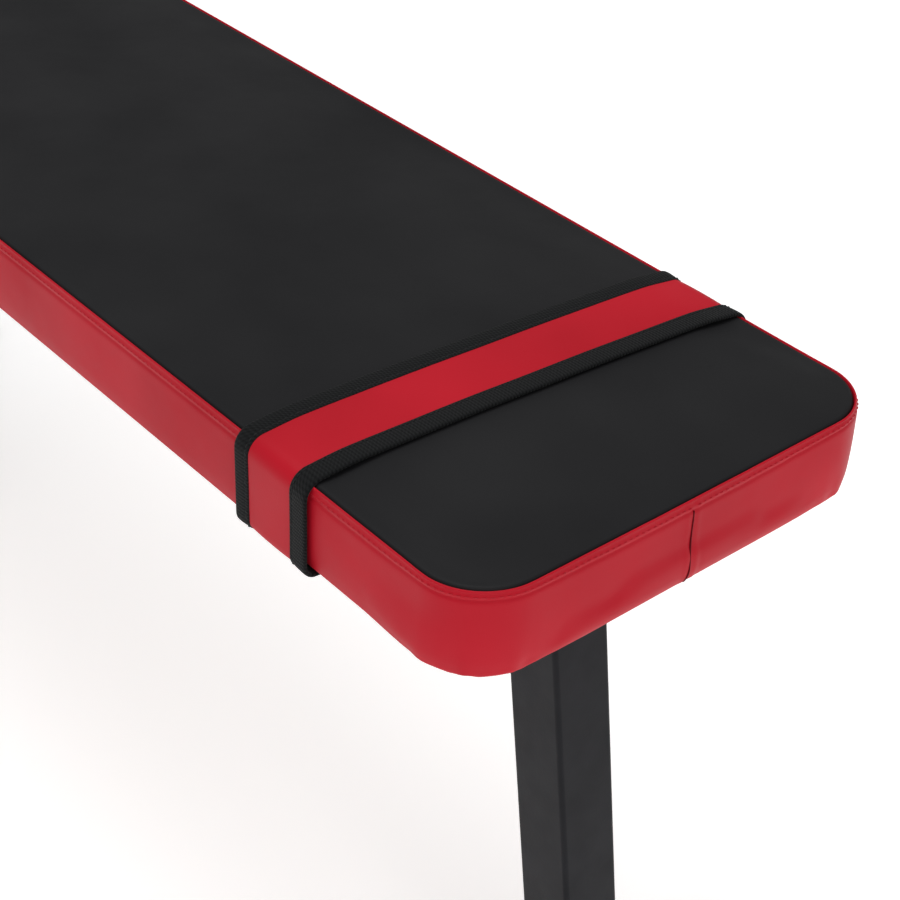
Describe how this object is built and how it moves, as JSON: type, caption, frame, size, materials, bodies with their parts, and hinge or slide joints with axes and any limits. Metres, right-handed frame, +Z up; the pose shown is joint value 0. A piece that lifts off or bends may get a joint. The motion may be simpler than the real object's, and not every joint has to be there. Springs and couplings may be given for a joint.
{
  "type": "decline sit up bench",
  "caption": "Flat padded sit-up bench with a decline set by a telescoping front post, foam knee and ankle rollers, and a fabric sleeve round the pad.",
  "frame": {"origin": "middle of the bench's footprint, on the floor", "axes": "+X along the bench towards the low head end, +Y across it, +Z up"},
  "size_m": [1.3782, 0.4536, 0.6339],
  "materials": {
    "black_vinyl": "satin",
    "red_vinyl": "satin",
    "webbing": "matte",
    "black_paint": "satin",
    "zinc_steel": "satin",
    "bright_pin": "polished",
    "black_plastic": "satin",
    "plywood": "matte",
    "cushion_foam": "matte",
    "roller_foam": "matte"
  },
  "bodies": {
    "front_base": {"base_crossbar": "black_paint", "base_rail": "black_paint", "base_foot_left": "black_plastic", "base_foot_right": "black_plastic", "base_rail_foot": "black_plastic", "outer_post": "black_paint", "post_bushing": "black_plastic", "height_pin_housing": "black_paint"},
    "height_post": {"inner_post": "black_paint"},
    "bench_frame": {"main_beam": "black_paint", "beam_head_cap": "black_plastic", "beam_collar": "black_plastic", "pivot_lug_left": "black_paint", "pivot_lug_right": "black_paint", "pivot_bolt": "zinc_steel", "pivot_nut": "zinc_steel", "pad_bracket_head": "black_paint", "pad_bracket_foot": "black_paint", "pad_board": "plywood", "pad_foam": "cushion_foam", "pad_side_band": "red_vinyl", "pad_top_panel": "black_vinyl", "pad_screw_head_left": "zinc_steel", "pad_screw_head_right": "zinc_steel", "pad_screw_foot_left": "zinc_steel", "pad_screw_foot_right": "zinc_steel", "leg_saddle": "black_paint", "leg_bolt_front": "zinc_steel", "leg_bolt_rear": "zinc_steel", "leg_nut_front": "zinc_steel", "leg_nut_rear": "zinc_steel", "rear_leg": "black_paint", "rear_crossbar": "black_paint", "rear_foot_left": "black_plastic", "rear_foot_right": "black_plastic", "knee_mast": "black_paint", "knee_mast_cap": "black_plastic", "knee_roller_tube": "black_paint", "knee_tube_cap_left": "black_plastic", "knee_tube_cap_right": "black_plastic", "ankle_pin_housing": "black_paint"},
    "ankle_arm": {"ankle_arm_tube": "black_paint", "ankle_drop_tube": "black_paint", "ankle_drop_cap": "black_plastic", "ankle_roller_tube": "black_paint", "ankle_tube_cap_left": "black_plastic", "ankle_tube_cap_right": "black_plastic"},
    "knee_roller_left": {"knee_roller_left": "roller_foam"},
    "knee_roller_right": {"knee_roller_right": "roller_foam"},
    "ankle_roller_left": {"ankle_roller_left": "roller_foam"},
    "ankle_roller_right": {"ankle_roller_right": "roller_foam"},
    "height_pin": {"height_pin": "bright_pin", "height_pin_knob": "black_plastic", "height_pin_spring": "zinc_steel"},
    "ankle_pin": {"ankle_pin": "bright_pin", "ankle_pin_knob": "black_plastic", "ankle_pin_spring": "zinc_steel"},
    "pad_sleeve": {"sleeve_panel": "red_vinyl", "sleeve_binding_head": "webbing", "sleeve_binding_foot": "webbing"}
  },
  "joints": [
    {"name": "height_slide", "type": "slide", "parent": "front_base", "child": "height_post", "axis": [0, 0, 1], "range_m": [0, 0.192]},
    {"name": "decline_hinge", "type": "hinge", "parent": "height_post", "child": "bench_frame", "pos_m": [-0.37098, 0, 0.44218], "axis": [0, 1, 0], "range_deg": [0, 11.55]},
    {"name": "ankle_slide", "type": "slide", "parent": "bench_frame", "child": "ankle_arm", "axis": [-0.9986, 0, 0.0536], "range_m": [0, 0.1]},
    {"name": "knee_roller_left_spin", "type": "hinge", "parent": "bench_frame", "child": "knee_roller_left", "pos_m": [-0.44623, 0, 0.58892], "axis": [0, 1, 0], "continuous": true},
    {"name": "knee_roller_right_spin", "type": "hinge", "parent": "bench_frame", "child": "knee_roller_right", "pos_m": [-0.44623, 0, 0.58892], "axis": [0, 1, 0], "continuous": true},
    {"name": "ankle_roller_left_spin", "type": "hinge", "parent": "ankle_arm", "child": "ankle_roller_left", "pos_m": [-0.64425, 0, 0.31711], "axis": [0, 1, 0], "continuous": true},
    {"name": "ankle_roller_right_spin", "type": "hinge", "parent": "ankle_arm", "child": "ankle_roller_right", "pos_m": [-0.64425, 0, 0.31711], "axis": [0, 1, 0], "continuous": true},
    {"name": "height_pin_pull", "type": "slide", "parent": "front_base", "child": "height_pin", "axis": [-1, 0, 0], "range_m": [0, 0.008], "stiffness_N_per_m": 1500, "springref_m": -0.004, "deforming": ["height_pin_spring"]},
    {"name": "ankle_pin_pull", "type": "slide", "parent": "bench_frame", "child": "ankle_pin", "axis": [0, -1, 0], "range_m": [0, 0.008], "stiffness_N_per_m": 1500, "springref_m": -0.004, "deforming": ["ankle_pin_spring"]},
    {"name": "sleeve_slide", "type": "slide", "parent": "bench_frame", "child": "pad_sleeve", "axis": [0.9986, 0, -0.0536], "range_m": [-0.12, 0.03]}
  ],
  "couplings": [
    {"joint": "decline_hinge", "follows": "height_slide", "rad_per_m": 1.046}
  ]
}
